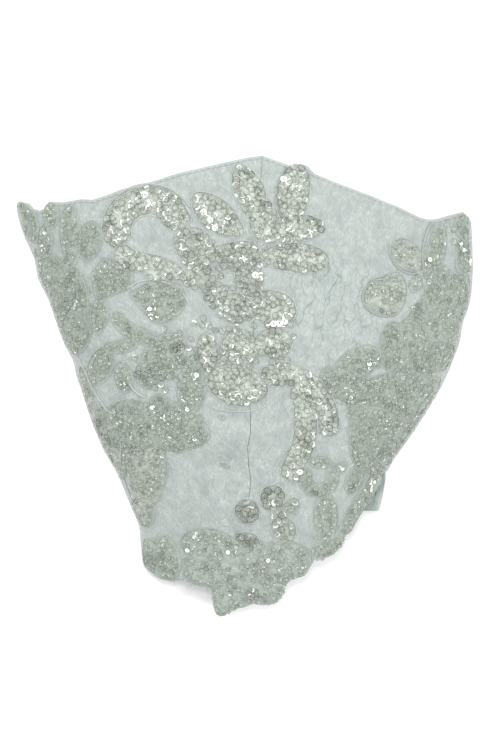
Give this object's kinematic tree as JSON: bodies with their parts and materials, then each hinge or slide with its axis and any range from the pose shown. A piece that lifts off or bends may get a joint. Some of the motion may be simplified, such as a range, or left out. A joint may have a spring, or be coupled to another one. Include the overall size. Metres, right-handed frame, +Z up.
{
  "type": "lace wedding glove",
  "caption": "Fingerless bridal glove of lined net, flared to the arm, with sequinned lace leaves and flowers on its back and a plain palm.",
  "frame": {"origin": "centre of the glove's outline, on the surface that the palm lies on", "axes": "+X to the right seen from above with the hand end near, +Y along the glove to the arm end, +Z up through the back of the glove"},
  "size_m": [0.1521, 0.1529, 0.0311],
  "materials": {
    "net": "fine net, pale silver grey",
    "lining": "smooth thin lining, off white",
    "palm_net": "plain net over lining, grey green",
    "tape": "narrow woven tape",
    "hem": "folded and stitched net",
    "lace": "embroidered, matte",
    "cord": "twisted embroidery cord",
    "sequins": "clear pearly cupped sequins"
  },
  "bodies": {
    "root": {"back_net_left": "net", "back_net_right": "net", "back_lining_left": "lining", "back_lining_right": "lining", "palm_net": "palm_net", "centre_seam": "tape", "side_seam_left": "tape", "side_seam_right": "tape", "palm_arm_hem": "tape", "palm_hand_hem": "tape", "arm_hem_left": "hem", "arm_hem_right": "hem", "upper_left_cords": "cord", "left_cords": "cord", "window_cords": "cord", "upper_right_cords": "cord", "upper_scroll_lace": "lace", "upper_scroll_sequins": "sequins", "star_flower_lace": "lace", "star_flower_sequins": "sequins", "flower_heart_lace": "lace", "flower_heart_sequins": "sequins", "centre_spray_lace": "lace", "centre_spray_sequins": "sequins", "arch_scroll_lace": "lace", "arch_scroll_sequins": "sequins", "upper_left_leaves_lace": "lace", "upper_left_leaves_sequins": "sequins", "upper_left_border_lace": "lace", "upper_left_border_sequins": "sequins", "left_border_lace": "lace", "left_border_sequins": "sequins", "left_spray_lace": "lace", "left_spray_sequins": "sequins", "lower_left_leaf_lace": "lace", "lower_left_leaf_sequins": "sequins", "lower_left_border_lace": "lace", "lower_left_border_sequins": "sequins", "left_hem_lobe_lace": "lace", "left_hem_lobe_sequins": "sequins", "hem_flower_lace": "lace", "hem_flower_sequins": "sequins", "small_blossom_lace": "lace", "small_blossom_sequins": "sequins", "ring_scroll_lace": "lace", "ring_scroll_sequins": "sequins", "right_hem_lobe_lace": "lace", "right_hem_lobe_sequins": "sequins", "right_leaves_lace": "lace", "right_leaves_sequins": "sequins", "lower_right_border_lace": "lace", "lower_right_border_sequins": "sequins", "right_border_lace": "lace", "right_border_sequins": "sequins", "right_blossom_lace": "lace", "right_blossom_sequins": "sequins", "upper_right_border_lace": "lace", "upper_right_border_sequins": "sequins"}
  },
  "joints": []
}
